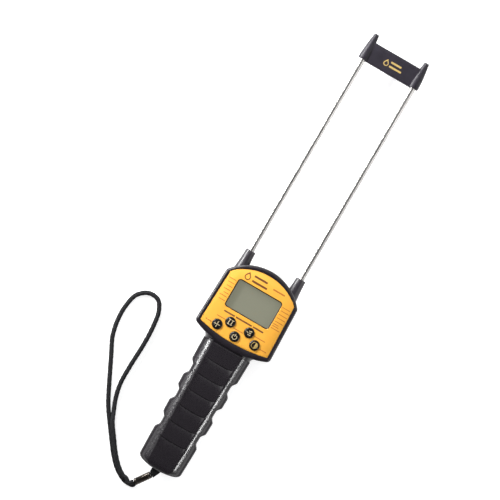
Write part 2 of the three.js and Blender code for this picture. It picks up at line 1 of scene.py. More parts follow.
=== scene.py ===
"""A hand-held grain moisture meter with two steel probes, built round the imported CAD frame.

Shapes are written in millimetres in the instrument's own terms: x across, s the station from the
end of the handle towards the probe tips, z out of the display face. at() turns them into metres.
"""

import math

import bmesh
import bpy
from mathutils import Matrix, Vector


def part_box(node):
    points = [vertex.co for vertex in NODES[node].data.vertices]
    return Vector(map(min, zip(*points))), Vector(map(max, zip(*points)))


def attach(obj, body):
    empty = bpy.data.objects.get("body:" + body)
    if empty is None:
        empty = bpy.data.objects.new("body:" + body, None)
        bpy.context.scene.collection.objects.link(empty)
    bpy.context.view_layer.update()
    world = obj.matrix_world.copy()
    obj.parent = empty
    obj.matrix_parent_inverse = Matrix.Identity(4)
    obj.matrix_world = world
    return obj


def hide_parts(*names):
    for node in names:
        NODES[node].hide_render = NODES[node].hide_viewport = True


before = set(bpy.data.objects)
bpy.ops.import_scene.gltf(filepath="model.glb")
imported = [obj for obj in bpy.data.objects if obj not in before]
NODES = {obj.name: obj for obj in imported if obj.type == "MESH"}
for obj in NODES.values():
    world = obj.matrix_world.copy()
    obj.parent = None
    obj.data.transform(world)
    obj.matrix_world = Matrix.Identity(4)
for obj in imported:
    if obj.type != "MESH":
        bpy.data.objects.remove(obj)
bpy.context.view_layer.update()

MM = 0.001
HANDLE_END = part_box("rear_housing")[0].y


def at(x, s, z):
    return Vector((x * MM, HANDLE_END + s * MM, z * MM))


def station(y):
    """The station, in millimetres, of a place in the frame."""
    return (y - HANDLE_END) / MM


def height(node, corner):
    """Lowest (0) or highest (1) z of a CAD node, in millimetres."""
    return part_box(node)[corner].z / MM


# ---- dimensions, in millimetres

FRONT = height("front_housing", 1)
FACE_TOP = height("face_overlay", 1)
FACE_LOW = height("face_overlay", 0)
PARTING = (height("front_housing", 0) + height("rear_housing", 1)) / 2
GAP = 0.3
WALL = 2.4

HEAD = dict(top_centre=167.4, top_radius=48.6, top_corner=4.0, widest=40.4, widest_at=143.0,
            taper=0.034, bottom_centre=232.2, bottom_radius=100.0, bottom_corner=4.5)
FACE = dict(top_centre=159.7, top_radius=51.4, top_corner=1.8, widest=36.4, widest_at=143.3,
            taper=0.036, bottom_centre=292.3, bottom_radius=153.0, bottom_corner=1.4)
FRONT_ROUND = 2.4
BACK_ROUND = 3.0

GRIP_END = 131.4
GRIP_FRONT = 32.0
GRIP_WIDEST, GRIP_TAPER = 25.1, 0.0226
PANEL, PANEL_FLARE = 15, 3.2
SHOULDER = dict(reach=4.4, fall=4.2, side=20.5)
SCALLOPS = (43.2, 72.1, 99.5)
SCALLOP_DEPTH = 3.2
GROOVES = (29.1, 46.1, 63.3, 80.6, 97.6, 114.6)
GROOVE_DEPTH, GROOVE_WALL, GROOVE_FADE = 0.85, 0.38, 3.4

WINDOW = dict(x=23.0, low=167.2, high=194.9, corner=2.4)
WINDOW_RIM = 0.9
LENS = dict(x=25.6, low=164.3, high=197.5, corner=2.0)
KEYS = {"light": (-20.3, 147.7), "adjust": (-10.3, 155.5), "power": (-0.1, 145.6),
        "species": (10.0, 155.6), "hold": (20.2, 147.9)}
KEY_RADIUS = 4.85
HOUSING_SCREWS = ((-33.5, 146.5), (33.5, 146.5), (-13, 204.5), (13, 204.5), (-11, 119), (11, 119))

PROBE_X = 27.3
PROBE_RADIUS = 3.0
CORD_DIAMETER = 4.4


# ---- camera

VIEW_CENTRE = Vector((-0.0286, -0.0067, 0.017))
VIEW_WIDTH = 0.4726
VIEW_DISTANCE = 3.0
LEAN = math.radians(30.23)


def make_camera():
    data = bpy.data.cameras.new("camera")
    camera = bpy.data.objects.new("camera", data)
    bpy.context.scene.collection.objects.link(camera)
    camera.location = VIEW_CENTRE + Vector((0, 0, VIEW_DISTANCE))
    camera.rotation_euler = (0, 0, LEAN)
    data.lens = data.sensor_width * VIEW_DISTANCE / VIEW_WIDTH
    data.clip_start = 0.01
    bpy.context.scene.camera = camera


make_camera()


# ---- mesh helpers

def link(name, mesh):
    piece = bpy.data.objects.new(name, mesh)
    bpy.context.scene.collection.objects.link(piece)
    return piece


def mesh_from(name, points, faces):
    mesh = bpy.data.meshes.new(name)
    mesh.from_pydata([tuple(p) for p in points], [], faces)
    work = bmesh.new()
    work.from_mesh(mesh)
    bmesh.ops.remove_doubles(work, verts=work.verts, dist=1e-7)
    bmesh.ops.recalc_face_normals(work, faces=work.faces)
    work.to_mesh(mesh)
    work.free()
    return link(name, mesh)


def loft(name, rings):
    """A closed skin over rings of (x, s, z), each of the same length, with a flat cap at both ends."""
    count = len(rings[0])
    points = [at(*p) for ring in rings for p in ring]
    faces = []
    for r in range(len(rings) - 1):
        for i in range(count):
            a, b = r * count + i, r * count + (i + 1) % count
            faces.append((a, b, b + count, a + count))
    last = (len(rings) - 1) * count
    faces.append(tuple(range(count)))
    faces.append(tuple(last + i for i in reversed(range(count))))
    return mesh_from(name, points, faces)


def turned(name, profile, place, sides=64):
    """A round body: profile of (radius, height), and place(u, v, h) that puts a point in the frame."""
    points, rows = [], []
    for radius, h in profile:
        if radius < 1e-6:
            rows.append([len(points)])
            points.append(place(0, 0, h))
            continue
        rows.append(list(range(len(points), len(points) + sides)))
        for i in range(sides):
            angle = 2 * math.pi * i / sides
            points.append(place(radius * math.cos(angle), radius * math.sin(angle), h))
    faces = []
    for low, high in zip(rows, rows[1:]):
        for i in range(sides):
            j = (i + 1) % sides
            if len(low) == 1 and len(high) == 1:
                continue
            if len(low) == 1:
                faces.append((low[0], high[j], high[i]))
            elif len(high) == 1:
                faces.append((low[i], low[j], high[0]))
            else:
                faces.append((low[i], low[j], high[j], high[i]))
    if profile[0] != profile[-1]:
        faces += [tuple(row) for row in (rows[0], rows[-1]) if len(row) > 1]
    return mesh_from(name, points, faces)


def along_s(x, z=PARTING):
    return lambda u, v, h: at(x + u, h, z + v)


def along_z(x, s):
    return lambda u, v, h: at(x + u, s + v, h)


def solidify_boolean(body, cutter, operation):
    """Joins or cuts body with cutter, which is used up."""
    step = body.modifiers.new("step", "BOOLEAN")
    step.operation = operation
    step.solver = "MANIFOLD"
    step.object = cutter
    graph = bpy.context.evaluated_depsgraph_get()
    made = bpy.data.meshes.new_from_object(body.evaluated_get(graph))
    body.modifiers.clear()
    body.data = made
    bpy.data.objects.remove(cutter)
    return body


def cut(body, *cutters):
    for cutter in cutters:
        solidify_boolean(body, cutter, "DIFFERENCE")
    return body


def join(body, *others):
    for other in others:
        solidify_boolean(body, other, "UNION")
    return body


def smooth(piece, degrees=32):
    piece.data.shade_smooth()
    piece.data.set_sharp_from_angle(angle=math.radians(degrees))
    return piece


def paint(piece, *materials):
    piece.data.materials.clear()
    for material in materials:
        piece.data.materials.append(material)
    return piece


def finish_piece(piece, body, slot, *nodes):
    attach(piece, body)
    if nodes:
        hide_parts(*nodes)
    return piece


# ---- outlines

def arc(cx, cy, radius, start, end, count):
    angles = [start + (end - start) * i / count for i in range(count + 1)]
    return [(cx + radius * math.cos(a), cy + radius * math.sin(a)) for a in angles]


def rounded_corner(before, corner, after, radius, count=8):
    corner = Vector(corner)
    to_before = (Vector(before) - corner).normalized()
    to_after = (Vector(after) - corner).normalized()
    half = math.acos(to_before.dot(to_after)) / 2
    centre = corner + (to_before + to_after).normalized() * radius / math.sin(half)
    start = corner + to_before * radius / math.tan(half) - centre
    end = corner + to_after * radius / math.tan(half) - centre
    turn = math.atan2(start.x * end.y - start.y * end.x, start.dot(end))
    points = []
    for i in range(count + 1):
        point = centre + Matrix.Rotation(turn * i / count, 2) @ start
        points.append((point.x, point.y))
    return points


def rounded_rectangle(x0, x1, s0, s1, radius, count=8):
    quarter = math.pi / 2
    corners = ((x1, s1, -1, -1), (x0, s1, 1, -1), (x0, s0, 1, 1), (x1, s0, -1, 1))
    points = []
    for i, (x, s, dx, ds) in enumerate(corners):
        points += arc(x + dx * radius, s + ds * radius, radius, i * quarter, (i + 1) * quarter, count)
    return points


def shield(form, inset, crown_steps=48, sill_steps=32):
    """An arc on top, straight tapered sides and a flatter arc below, shrunk evenly by inset."""
    def side(s):
        return form["widest"] - form["taper"] * (s - form["widest_at"]) - inset

    def meet(centre, radius, up):
        s = form["widest_at"]
        for _ in range(20):
            s = centre + up * math.sqrt(radius ** 2 - side(s) ** 2)
        return side(s), s

    top_r, bottom_r = form["top_radius"] - inset, form["bottom_radius"] - inset
    top = meet(form["top_centre"], top_r, 1)
    bottom = meet(form["bottom_centre"], bottom_r, -1)
    top_angle = math.atan2(top[1] - form["top_centre"], top[0])
    bottom_angle = math.atan2(bottom[1] - form["bottom_centre"], bottom[0])
    crown = arc(0, form["top_centre"], top_r, top_angle, math.pi - top_angle, crown_steps)[3:-3]
    sill = arc(0, form["bottom_centre"], bottom_r, -math.pi - bottom_angle, bottom_angle, sill_steps)[3:-3]
    top_corner = rounded_corner(bottom, top, crown[0], max(form["top_corner"] - inset, GAP))
    bottom_corner = rounded_corner(sill[-1], bottom, top, max(form["bottom_corner"] - inset, GAP))
    mirrored = lambda points: [(-x, s) for x, s in reversed(points)]
    return top_corner + crown + mirrored(top_corner) + mirrored(bottom_corner) + sill + bottom_corner


def raised(outline, z):
    return [(x, s, z) for x, s in outline]


def prism(name, outline, z0, z1):
    return loft(name, [raised(outline, z0), raised(outline, z1)])


def chaikin(points, rounds):
    """Cuts the corners of an open line, and keeps its two ends."""
    for _ in range(rounds):
        finer = [points[0]]
        for a, b in zip(points, points[1:]):
            finer.append(tuple(0.75 * u + 0.25 * v for u, v in zip(a, b)))
            finer.append(tuple(0.25 * u + 0.75 * v for u, v in zip(a, b)))
        points = finer + [points[-1]]
    return points


def step(t):
    t = min(max(t, 0.0), 1.0)
    return t * t * (3 - 2 * t)


# ---- materials

class Shader:
    """A Principled material with short ways to add and link nodes."""

    def __init__(self, name, color, roughness, metallic=0.0):
        self.material = bpy.data.materials.new(name)
        self.material.use_nodes = True
        self.tree = self.material.node_tree
        self.bsdf = self.tree.nodes["Principled BSDF"]
        self.bsdf.inputs["Base Color"].default_value = (*color, 1)
        self.bsdf.inputs["Roughness"].default_value = roughness
        self.bsdf.inputs["Metallic"].default_value = metallic
        self.place = self.node("ShaderNodeTexCoord").outputs["Object"]
        self.height = None

    def node(self, kind, **settings):
        made = self.tree.nodes.new(kind)
        for key, value in settings.items():
            setattr(made, key, value)
        return made

    def join(self, source, target):
        self.tree.links.new(source, target)

    def set(self, **values):
        for key, value in values.items():
            self.bsdf.inputs[key.replace("_", " ")].default_value = value
        return self

    def stretched(self, scale):
        mapping = self.node("ShaderNodeMapping")
        mapping.inputs["Scale"].default_value = scale
        self.join(self.place, mapping.inputs["Vector"])
        return mapping.outputs["Vector"]

    def noise(self, grain_mm, detail=3.0, stretch=None):
        texture = self.node("ShaderNodeTexNoise")
        texture.inputs["Scale"].default_value = 1 / (grain_mm * MM)
        texture.inputs["Detail"].default_value = detail
        self.join(self.stretched(stretch) if stretch else self.place, texture.inputs["Vector"])
        return texture.outputs["Fac"]

    def cells(self, grain_mm):
        texture = self.node("ShaderNodeTexVoronoi")
        texture.inputs["Scale"].default_value = 1 / (grain_mm * MM)
        self.join(self.place, texture.inputs["Vector"])
        return texture.outputs["Distance"]

    def spread(self, source, low, high, start=0.3, end=0.7):
        """The source's values from start to end, as numbers from low to high."""
        ranged = self.node("ShaderNodeMapRange")
        for key, value in zip(("From Min", "From Max", "To Min", "To Max"), (start, end, low, high)):
            ranged.inputs[key].default_value = value
        self.join(source, ranged.inputs["Value"])
        return ranged.outputs["Result"]

    def vary_color(self, source, dark, light, start=0.3, end=0.7):
        ramp = self.node("ShaderNodeValToRGB")
        ramp.color_ramp.elements[0].position = start
        ramp.color_ramp.elements[1].position = end
        ramp.color_ramp.elements[0].color = (*dark, 1)
        ramp.color_ramp.elements[1].color = (*light, 1)
        self.join(source, ramp.inputs["Fac"])
        self.join(ramp.outputs["Color"], self.bsdf.inputs["Base Color"])
        return self

    def vary_roughness(self, source, low, high):
        self.join(self.spread(source, low, high), self.bsdf.inputs["Roughness"])
        return self

    def by_tilt(self, socket, top, side):
        """Sets a socket by how the skin leans: top where it faces as the display does, side where upright."""
        split = self.node("ShaderNodeSeparateXYZ")
        self.join(self.node("ShaderNodeTexCoord").outputs["Normal"], split.inputs["Vector"])
        self.join(self.spread(split.outputs["Z"], side, top, 0.45, 0.8), self.bsdf.inputs[socket])
        return self

    def bump(self, source, depth_mm):
        bump = self.node("ShaderNodeBump")
        bump.inputs["Distance"].default_value = depth_mm * MM
        self.join(source, bump.inputs["Height"])
        if self.height:
            self.join(self.height, bump.inputs["Normal"])
        self.height = bump.outputs["Normal"]
        self.join(self.height, self.bsdf.inputs["Normal"])
        return self


def scaled(color, factor):
    return tuple(min(1.0, c * factor) for c in color)


def plastic(name, color, roughness, grain_mm=1.2, depth_mm=0.006, change=0.15, gloss=0.5):
    """Moulded plastic: slight mottling, uneven gloss and a very fine skin."""
    shader = Shader(name, color, roughness)
    shader.vary_color(shader.noise(9.0), scaled(color, 1 - change), scaled(color, 1 + change))
    shader.vary_roughness(shader.noise(4.0), roughness * 0.88, roughness * 1.14)
    shader.bump(shader.noise(grain_mm, 4.0), depth_mm)
    shader.set(Specular_IOR_Level=gloss)
    return shader


def grained_plastic(name):
    """The handle's leather-like moulded grain: small pebbles with fine creases between them."""
    color = (0.0056, 0.0038, 0.0062)
    shader = Shader(name, color, 0.28)
    shader.vary_color(shader.cells(0.9), scaled(color, 1.35), scaled(color, 0.7), 0.1, 0.75)
    shader.vary_roughness(shader.noise(0.8), 0.24, 0.33)
    shader.bump(shader.cells(1.1), -0.022)
    shader.bump(shader.noise(0.6, 3.0), 0.010)
    shader.by_tilt("Specular IOR Level", 0.9, 0.02)
    return shader


def metal(name, color, roughness, stretch=(1, 1, 1), grain_mm=0.5, depth_mm=0.003):
    shader = Shader(name, color, roughness, 1.0)
    shader.vary_color(shader.noise(6.0), scaled(color, 0.93), color)
    shader.vary_roughness(shader.noise(grain_mm, 4.0, stretch), roughness * 0.75, roughness * 1.35)
    shader.bump(shader.noise(grain_mm, 3.0, stretch), depth_mm)
    return shader


def woven(name, color, pitch_mm):
    """Black yarn: crossing ribs with soft fibres."""
    shader = Shader(name, color, 0.85)
    shader.vary_color(shader.noise(0.35, 4.0), scaled(color, 0.5), scaled(color, 2.2))
    wave = shader.node("ShaderNodeTexWave", wave_type="BANDS", bands_direction="DIAGONAL")
    wave.inputs["Scale"].default_value = 1 / (pitch_mm * MM) / 3
    wave.inputs["Distortion"].default_value = 1.5
    shader.join(shader.place, wave.inputs["Vector"])
    shader.bump(wave.outputs["Fac"], 0.12)
    shader.bump(shader.noise(0.2, 3.0), 0.05)
    shader.set(Specular_IOR_Level=0.15)
    return shader


def window_film(name):
    shader = Shader(name, (0.20, 0.21, 0.20), 0.06)
    shader.vary_roughness(shader.noise(12.0), 0.04, 0.09)
    shader.bump(shader.noise(18.0), 0.01)
    shader.set(Alpha=0.06)
    return shader


def display(name):
    """Grey-green liquid crystal with a painted glow: the display is unlit, but it gives off a little light so
    that the shade its window's walls cast on it is filled in and it stays even behind its window.
    """
    color = (0.036, 0.036, 0.025)
    shader = Shader(name, color, 0.42)
    shader.vary_color(shader.noise(14.0, 2.0), scaled(color, 0.94), scaled(color, 1.06))
    shader.bump(shader.noise(0.25, 2.0), 0.004)
    # Painted light: an even glow on the unlit display, which fills in the shade cast by the window's walls.
    shader.set(Emission_Color=(*scaled(color, 7.6), 1), Emission_Strength=0.71)
    return shader


def printed(name, color):
    shader = Shader(name, color, 0.5)
    shader.vary_color(shader.noise(0.7, 3.0), scaled(color, 0.8), scaled(color, 1.15))
    shader.bump(shader.noise(0.3), 0.003)
    return shader


M = {
    "shell": plastic("shell_black", (0.0066, 0.0046, 0.0074), 0.36, 0.6, 0.006, gloss=0.4),
    "grip": grained_plastic("grip_grain"),
    "gloss": plastic("gloss_black", (0.0190, 0.0160, 0.0205), 0.36, 2.5, 0.004),
    "guard": plastic("guard_black", (0.0140, 0.0120, 0.0175), 0.42, 0.5, 0.012, gloss=0.25),
    "face": plastic("face_orange", (0.640, 0.304, 0.032), 0.42, 0.35, 0.006, 0.03),
    "key": plastic("key_black", (0.0040, 0.0034, 0.0036), 0.16, 3.0, 0.003),
    "lens": window_film("window_clear"),
    "display": display("display_grey"),
    "inner": plastic("inner_black", (0.020, 0.020, 0.022), 0.5),
    "rubber": plastic("connector_rubber", (0.05, 0.05, 0.055), 0.7),
    "board": plastic("board_green", (0.012, 0.110, 0.040), 0.38, 0.9, 0.01),
    "steel": metal("probe_steel", (0.52, 0.51, 0.49), 0.28, (1, 0.05, 1), 0.8, 0.0008),
    "plated": metal("plated_steel", (0.62, 0.61, 0.60), 0.25),
    "contact": metal("contact_nickel", (0.74, 0.72, 0.68), 0.22),
    "brass": metal("brass", (0.72, 0.50, 0.20), 0.28),
    "ferrule": metal("ferrule_nickel", (0.078, 0.069, 0.060), 0.18),
    "sleeve": plastic("battery_blue", (0.03, 0.12, 0.26), 0.25),
    "band": plastic("battery_band", (0.45, 0.46, 0.48), 0.3),
    "wire_black": plastic("wire_black", (0.012, 0.012, 0.012), 0.45),
    "wire_red": plastic("wire_red", (0.36, 0.02, 0.02), 0.45),
    "label": plastic("label_grey", (0.42, 0.43, 0.44), 0.45),
    "tab": woven("tab_webbing", (0.010, 0.010, 0.011), 0.9),
    "cord": woven("cord_braid", (0.009, 0.009, 0.010), 0.7),
    "print_dark": printed("print_brown", (0.115, 0.036, 0.008)),
    "print_light": printed("print_amber", (0.36, 0.115, 0.014)),
    "gold": printed("print_gold", (0.36, 0.25, 0.075)),
    "cream": printed("print_cream", (0.40, 0.33, 0.20)),
    "label_ink": printed("label_ink", (0.05, 0.05, 0.055)),
}
M = {name: shader.material for name, shader in M.items()}


# ---- wrist strap

FERRULE_TOP = at(-2.9, -8.2, 9.1)
FERRULE_END = at(-12, -21.6, 4.4)

CORD_ROUTE = [
    (-11.4, -22.6, 2.6), (-12.8, -25.8, 2.1), (-16.4, -26.2, 2), (-19.3, -26.2, 2), (-22.2, -25.5, 2),
    (-27.2, -23.3, 2), (-34.8, -18.1, 2), (-44.2, -8.1, 2), (-53, 3.5, 2), (-61.7, 15.3, 2), (-68, 24, 2),
    (-73.5, 33, 2), (-83.5, 52.8, 2), (-92.5, 71.1, 2), (-100.4, 87.4, 2), (-103.9, 104.3, 2),
    (-103.8, 119.4, 2), (-100.4, 132, 2), (-91.1, 139.5, 2), (-80.7, 138.8, 2), (-74.4, 130, 2),
    (-71.5, 114.6, 2), (-70.7, 95.5, 2), (-71.5, 71.4, 2), (-71.2, 52.2, 2), (-68.1, 38, 2),
    (-63.5, 26.1, 2.5), (-59, 16.3, 4.4), (-50.6, 4.5, 5.1), (-42, -7.1, 5.1), (-32.5, -17.2, 5.1),
    (-25, -22.2, 5.1), (-20.6, -23.2, 5.1), (-17.2, -25.9, 5.2), (-13.7, -22.6, 5.9),
]


def centripetal(points, per_span):
    """A centripetal Catmull-Rom line through the points, as the CAD cord has."""
    first = points[0] * 2 - points[1]
    last = points[-1] * 2 - points[-2]
    padded = [first, *points, last]
    line = []
    for p0, p1, p2, p3 in zip(padded, padded[1:], padded[2:], padded[3:]):
        t0 = 0.0
        t1 = t0 + (p1 - p0).length ** 0.5
        t2 = t1 + (p2 - p1).length ** 0.5
        t3 = t2 + (p3 - p2).length ** 0.5
        for i in range(per_span):
            t = t1 + (t2 - t1) * i / per_span
            a1 = p0 * ((t1 - t) / (t1 - t0)) + p1 * ((t - t0) / (t1 - t0))
            a2 = p1 * ((t2 - t) / (t2 - t1)) + p2 * ((t - t1) / (t2 - t1))
            a3 = p2 * ((t3 - t) / (t3 - t2)) + p3 * ((t - t2) / (t3 - t2))
            b1 = a1 * ((t2 - t) / (t2 - t0)) + a2 * ((t - t0) / (t2 - t0))
            b2 = a2 * ((t3 - t) / (t3 - t1)) + a3 * ((t - t1) / (t3 - t1))
            line.append(b1 * ((t2 - t) / (t2 - t1)) + b2 * ((t - t1) / (t2 - t1)))
    return line + [points[-1]]


def resampled(line, spacing):
    """Points at an even spacing along a line."""
    lengths = [0.0]
    for a, b in zip(line, line[1:]):
        lengths.append(lengths[-1] + (b - a).length)
    count = max(2, round(lengths[-1] / spacing))
    points, k = [], 0
    for i in range(count + 1):
        target = lengths[-1] * i / count
        while k < len(line) - 2 and lengths[k + 1] < target:
            k += 1
        t = (target - lengths[k]) / (lengths[k + 1] - lengths[k])
        points.append(line[k].lerp(line[k + 1], t))
    return points, lengths[-1]


def tube(name, path, radius_at, sides):
    """A tube along path. radius_at(angle, distance) gives its radius, so that it can be braided."""
    points, faces = [], []
    tangent = (path[1] - path[0]).normalized()
    side = tangent.orthogonal().normalized()
    distance = 0.0
    for i, centre in enumerate(path):
        ahead = path[min(i + 1, len(path) - 1)] - path[max(i - 1, 0)]
        turn = tangent.rotation_difference(ahead.normalized())
        side = turn @ side
        tangent = ahead.normalized()
        other = tangent.cross(side)
        if i:
            distance += (centre - path[i - 1]).length
        for j in range(sides):
            angle = 2 * math.pi * j / sides
            spoke = side * math.cos(angle) + other * math.sin(angle)
            points.append(centre + spoke * radius_at(angle, distance))
    for i in range(len(path) - 1):
        for j in range(sides):
            a, b = i * sides + j, i * sides + (j + 1) % sides
            faces.append((a, b, b + sides, a + sides))
    faces.append(tuple(range(sides)))
    faces.append(tuple((len(path) - 1) * sides + j for j in reversed(range(sides))))
    return mesh_from(name, points, faces)


def braid(angle, distance):
    """Eight strands that pass over each other: ribs that lean both ways round the cord."""
    pitch = 5.2 * MM
    strands = 4
    lean = 2 * math.pi * distance / pitch
    right = 0.5 + 0.5 * math.cos(strands * angle + lean)
    left = 0.5 + 0.5 * math.cos(strands * angle - lean)
    weave = 0.5 + 0.5 * math.cos(2 * strands * angle) * math.cos(2 * lean)
    relief = weave * right ** 0.6 + (1 - weave) * left ** 0.6
    return (CORD_DIAMETER / 2 - 0.16 + 0.26 * relief) * MM


def make_cord():
    route = [at(*p) for p in CORD_ROUTE]
    fine = 0.4 * MM
    path, length = resampled(centripetal(route, 24), fine)
    cord = smooth(tube("strap_cord_braid", path, braid, 32), 60)
    paint(cord, M["cord"])
    finish_piece(cord, "wrist_strap", "strap_cord", "strap_cord")
    return cord, path, length


def make_ferrule():
    axis = FERRULE_END - FERRULE_TOP
    length = axis.length / MM
    turn = Vector((0, 0, 1)).rotation_difference(axis)
    radius = 3.45
    crimp_reach, crimp_depth = 0.7, 0.3
    profile = [(0, 0.5), (radius - 0.9, 0.5), (radius - 0.7, 0.1), (radius - 0.35, 0),
               (radius - 0.1, 0.12), (radius, 0.4)]
    for centre in (2.0, length - 2.0):
        for i in range(9):
            offset = -crimp_reach + 0.175 * i
            dent = crimp_depth * math.cos(offset * math.pi / 1.4) ** 2
            profile.append((radius - dent, centre + offset))
    profile += [(radius, length - 0.4), (radius - 0.1, length - 0.12), (radius - 0.35, length),
                (radius - 0.7, length - 0.1), (radius - 0.9, length - 0.5), (0, length - 0.5)]
    place = lambda u, v, h: FERRULE_TOP + turn @ (Vector((u, v, h)) * MM)
    ferrule = smooth(turned("ferrule_sleeve", profile, place))
    paint(ferrule, M["ferrule"])
    return finish_piece(ferrule, "wrist_strap", "ferrule_nickel", "strap_ferrule")


def make_tab():
    """A stitched loop of webbing round the pin, narrowing into the ferrule."""
    pin = ((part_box("strap_pin")[0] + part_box("strap_pin")[1]) / 2 - at(0, 0, 0)) / MM
    along = (FERRULE_END - FERRULE_TOP).to_2d().normalized()
    end = (FERRULE_TOP - at(0, 0, 0)).to_2d() / MM - along * 1.1
    across = Vector((-along.y, along.x))
    low, high = height("strap_tab", 0), height("strap_tab", 1)

    def outline(inset):
        eye = arc(pin.x, pin.y, 4.6 - inset, -0.08 * math.pi, 1.06 * math.pi, 28)
        left, right = end - across * (3.5 - inset), end + across * (3.5 - inset)
        left_flank = chaikin([eye[-1], (-4.8 + inset, 0), tuple(left)], 2)[1:-1]
        right_flank = chaikin([tuple(right), (3.9 - inset, -2.2), (4.4 - inset, 0), eye[0]], 2)[1:-1]
        return [*eye, *left_flank, tuple(left), tuple(right), *right_flank]

    edge = [(0.5, 0), (0.15, 0.18), (0, 0.6)]
    rings = [raised(outline(i), low + h) for i, h in edge]
    rings += [raised(outline(i), high - h) for i, h in reversed(edge)]
    tab = loft("strap_tab_webbing", rings)
    bore = 1.8
    hole = [(0, low - 1), (bore, low - 1), (bore, high + 1), (0, high + 1)]
    smooth(cut(tab, turned("hole", hole, along_z(pin.x, pin.y), 32)), 40)
    paint(tab, M["tab"])
    return finish_piece(tab, "wrist_strap", "strap_webbing", "strap_tab")


cord, cord_path, cord_length = make_cord()
ferrule = make_ferrule()
make_tab()


# ---- shells

def grip_width(s):
    """Half-width of the handle, with its three finger scallops."""
    cuts = [SCALLOP_DEPTH * step((9.0 - abs(s - centre)) / 5.8) for centre in SCALLOPS]
    return GRIP_WIDEST - GRIP_TAPER * (GRIP_END - s) - max(cuts)


def panel_relief(s):
    """Height of the front panel: each groove has a steep wall, and fades towards the handle's end."""
    relief = 0.0
    for centre in GROOVES:
        off = s - centre - 0.4
        if off > 0:
            relief -= GROOVE_DEPTH * max(0.0, 1 - off / GROOVE_WALL)
        else:
            relief -= GROOVE_DEPTH * math.exp(off / GROOVE_FADE)
    return relief


def grip_half(s, scale, front, low, is_front, relief=0.0):
    """One half of the handle's section: from the parting line on the right, round to the left."""
    w = grip_width(s)
    if is_front:
        ridge = PANEL + PANEL_FLARE * s / GRIP_END
        brow, reach = ridge - 1.2, ridge + SHOULDER["reach"]
        foot = min(reach, w - 1.2)
        drop_to = front - SHOULDER["fall"] * (foot - brow) / (reach - brow)
        side = [(w - 0.25, PARTING + 0.15), (w, PARTING + 0.45), (w, SHOULDER["side"]), (foot, drop_to),
                (brow, front), (ridge - SHOULDER["reach"], front)]
        side = chaikin(side, 3)
        flat = side[-1][0]
        side += [(flat * k / 8, front) for k in range(7, 0, -1)]
    else:
        side = [(w - 0.25, PARTING - 0.15), (w, PARTING - 0.45), (w - 0.2, 13), (w - 1, 8),
                (min(w - 3.2, 17.4), low + 2), (13.2, low), (11, low)]
        side = chaikin(side, 3) + [(7, low), (3.5, low)]
    whole = side + [(0, front if is_front else low)] + [(-x, z) for x, z in reversed(side)]
    ring = []
    for x, z in whole:
        inner = step((15.4 - abs(x)) / 3.8) if is_front else 0.0
        bow = 1.9 * (min(abs(x), PANEL) / PANEL) ** 4 * step((z - 26) / 5) if is_front else 0.0
        along = s + bow * min(1, s / 20) * min(1, (GRIP_END - s) / 6)
        ring.append((x * scale, along, z + relief * inner))
    return ring


def grip_stations():
    """Where the handle's rings stand: evenly, and closer together round each groove."""
    stations = set()
    s = 8.0
    while s < GRIP_END:
        stations.add(round(s, 2))
        s += 1.5
    offsets = (-5.0, -3.8, -2.9, -2.2, -1.7, -1.2, -0.8, -0.5, -0.2, 0.1, 0.4, 0.75, 1.1, 1.5)
    for centre in GROOVES:
        for off in offsets:
            stations.add(round(centre + off, 2))
    merged = []
    for s in sorted(stations):
        if not merged or s - merged[-1] > 0.12:
            merged.append(s)
    return merged


def grip_form(name, is_front):
    rings = []
    power, reach = 2.8, 8.0
    for i in range(14):
        k = 0.05 + 0.95 * math.sin(i / 14 * math.pi / 2)
        s = reach * (1 - (1 - k ** power) ** (1 / power))
        rings.append(grip_half(s, k, GRIP_FRONT - 4 * (1 - k), 3 * (1 - k), is_front))
    for s in grip_stations():
        rings.append(grip_half(s, 1, GRIP_FRONT, 0, is_front, panel_relief(s)))
    for off, inset in ((0.35, 0.0), (0.12, 0.12), (0.0, 0.35)):
        s = GRIP_END - off
        rings.append(grip_half(s, 1 - inset / 25, GRIP_FRONT - inset, inset * 0.3, is_front))
    return loft(name, rings)


# Station, half-width and front of each section of the neck.
NECK = ((127, 24.3, 31.2), (132.2, 24.5, 31.2), (133.2, 24.75, 31.2), (134.2, 25.3, 31.25),
        (135.2, 26.2, 31.3), (136.2, 27.6, 31.4), (137.2, 29.4, 31.5), (138.4, 32, 31.6), (140, 36, 31.6))


def neck_form(name, is_front):
    """From inside the handle's step, flaring into the lower edge of the head."""
    rings = []
    for s, width, front in NECK:
        section = grip_half(s, width / grip_width(s), front, 0.4, is_front)
        rings.append([(x, s, z) for x, _, z in section])
    return loft(name, rings)


def head_front_form():
    rings = [raised(shield(HEAD, 0.3), PARTING + 0.15), raised(shield(HEAD, 0), PARTING + 0.45)]
    r = FRONT_ROUND
    for i in range(9):
        phi = math.pi / 2 * i / 8
        rings.append(raised(shield(HEAD, r * (1 - math.cos(phi))), FRONT - r + r * math.sin(phi)))
    rings.append(raised(shield(FACE, -0.55), FRONT))
    rings.append(raised(shield(FACE, -0.36), FRONT - 0.08))
    rings.append(raised(shield(FACE, -GAP), FRONT - 0.3))
    rings.append(raised(shield(FACE, -GAP), FACE_LOW - 0.1))
    return loft("front_shell", rings)


def head_rear_form():
    rings = [raised(shield(HEAD, 0.3), PARTING - 0.15), raised(shield(HEAD, 0), PARTING - 0.45)]
    r = BACK_ROUND
    for i in range(9):
        phi = math.pi / 2 * i / 8
        rings.append(raised(shield(HEAD, r * (1 - math.cos(phi))), r * (1 - math.sin(phi))))
    return loft("rear_shell", rings)


def cavity():
    head = prism("head_cavity", shield(HEAD, WALL), WALL, FACE_TOP - 3.5)
    right = [(12.6, 2.4), (16.2, 7), (16.4, 25), (12, 29.4)]
    section = right + [(-x, z) for x, z in reversed(right)]
    handle = loft("handle_cavity", [[(x, s, z) for x, z in section] for s in (12, 145)])
    return join(head, handle)


